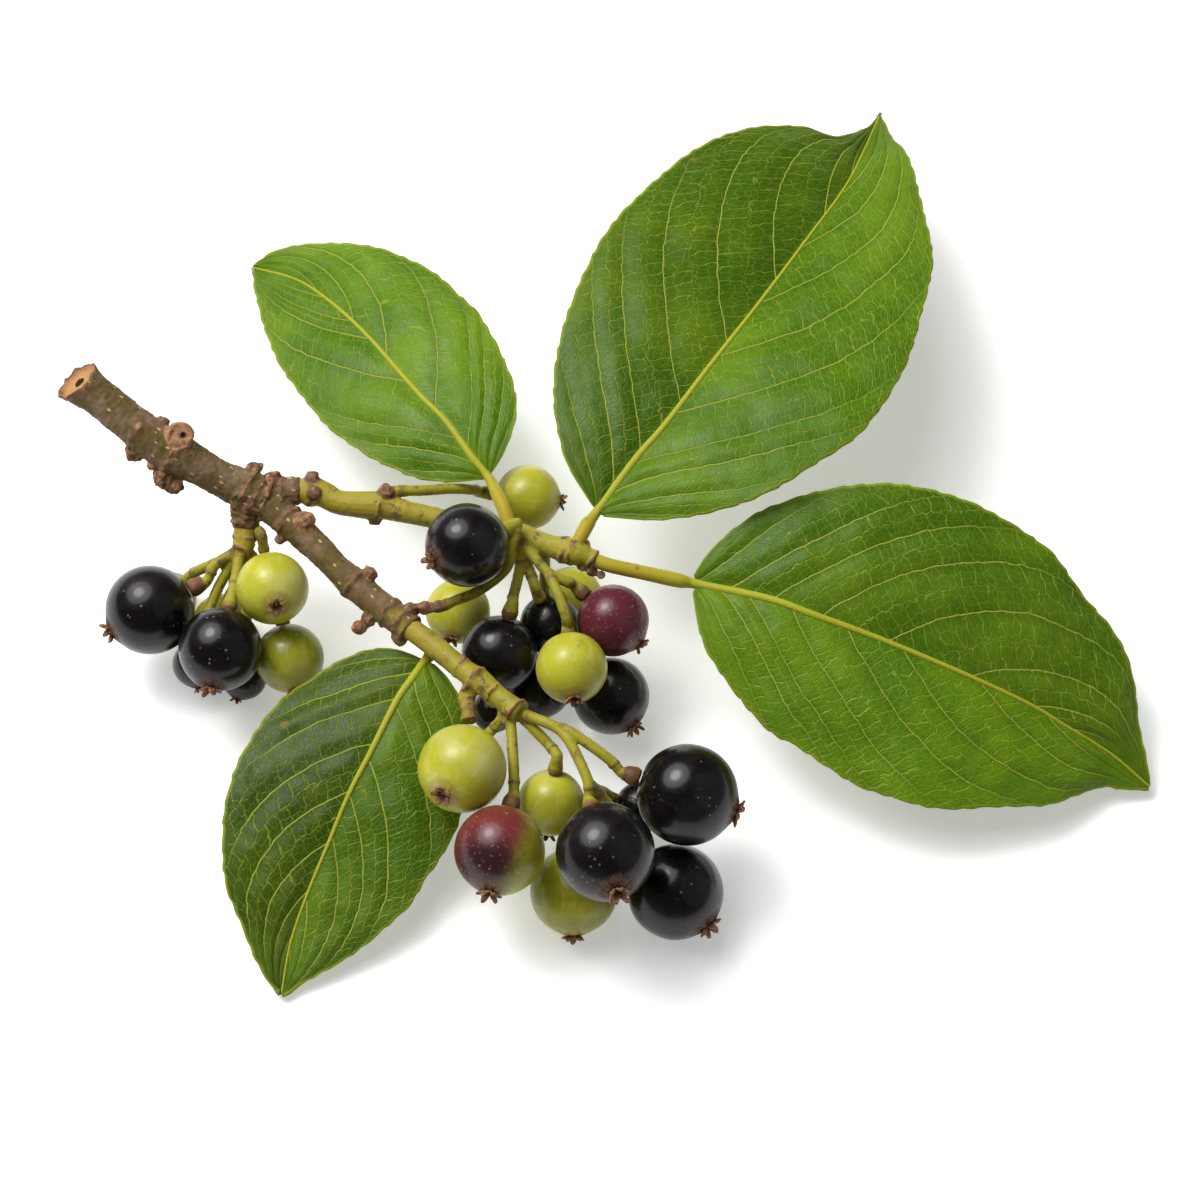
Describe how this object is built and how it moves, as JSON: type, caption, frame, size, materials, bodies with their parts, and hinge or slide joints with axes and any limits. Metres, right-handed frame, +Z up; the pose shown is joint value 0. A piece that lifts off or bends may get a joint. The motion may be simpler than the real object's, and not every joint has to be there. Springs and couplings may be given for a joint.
{
  "type": "buckthorn berry sprig",
  "caption": "Cut fruiting sprig lying on its berries: a woody twig with a green side shoot, long-stalked round berries with calyx stars, and broad finely toothed leaves.",
  "frame": {"origin": "middle of the sprig's outline on the surface it lies on", "axes": "+Z up from the surface, +X along the sprig's longest side from the cut end of the twig to the right leaf's tip, +Y towards the upper leaves"},
  "size_m": [0.1096, 0.0982, 0.0225],
  "materials": {
    "bark": "grey-brown bark with pale lenticels",
    "green_stem": "satin green skin with purple-brown specks",
    "leaf": "satin leaf with pale veins",
    "berry_black": "glossy ripe skin",
    "berry_purple": "glossy half-ripe skin",
    "berry_turning": "glossy skin turning from green to purple",
    "berry_green": "glossy unripe skin"
  },
  "bodies": {
    "root": {"twig": "bark", "side_shoot": "green_stem", "branch_tip": "green_stem", "stalks_left": "green_stem", "stalk_left_green": "green_stem", "stalk_upper": "green_stem", "leaf_upper_right": "leaf", "leaf_right": "leaf", "leaf_lower_left": "leaf", "leaf_upper_left": "leaf", "berry_left_1": "berry_black", "berry_left_2": "berry_black", "berry_left_3": "berry_green", "berry_left_4": "berry_green", "berry_left_5": "berry_black", "berry_left_6": "berry_black", "berry_left_7": "berry_green", "berry_left_8": "berry_green", "berry_middle_1": "berry_black", "berry_middle_2": "berry_green", "berry_middle_3": "berry_green", "berry_middle_4": "berry_black", "berry_middle_5": "berry_black", "berry_middle_6": "berry_purple", "berry_middle_7": "berry_green", "berry_middle_8": "berry_black", "berry_middle_9": "berry_green", "berry_middle_10": "berry_black", "berry_middle_11": "berry_black", "berry_front_1": "berry_green", "berry_front_2": "berry_turning", "berry_front_3": "berry_green", "berry_front_4": "berry_black", "berry_front_5": "berry_black", "berry_front_6": "berry_black", "berry_front_7": "berry_green", "berry_front_8": "berry_black"}
  },
  "joints": []
}
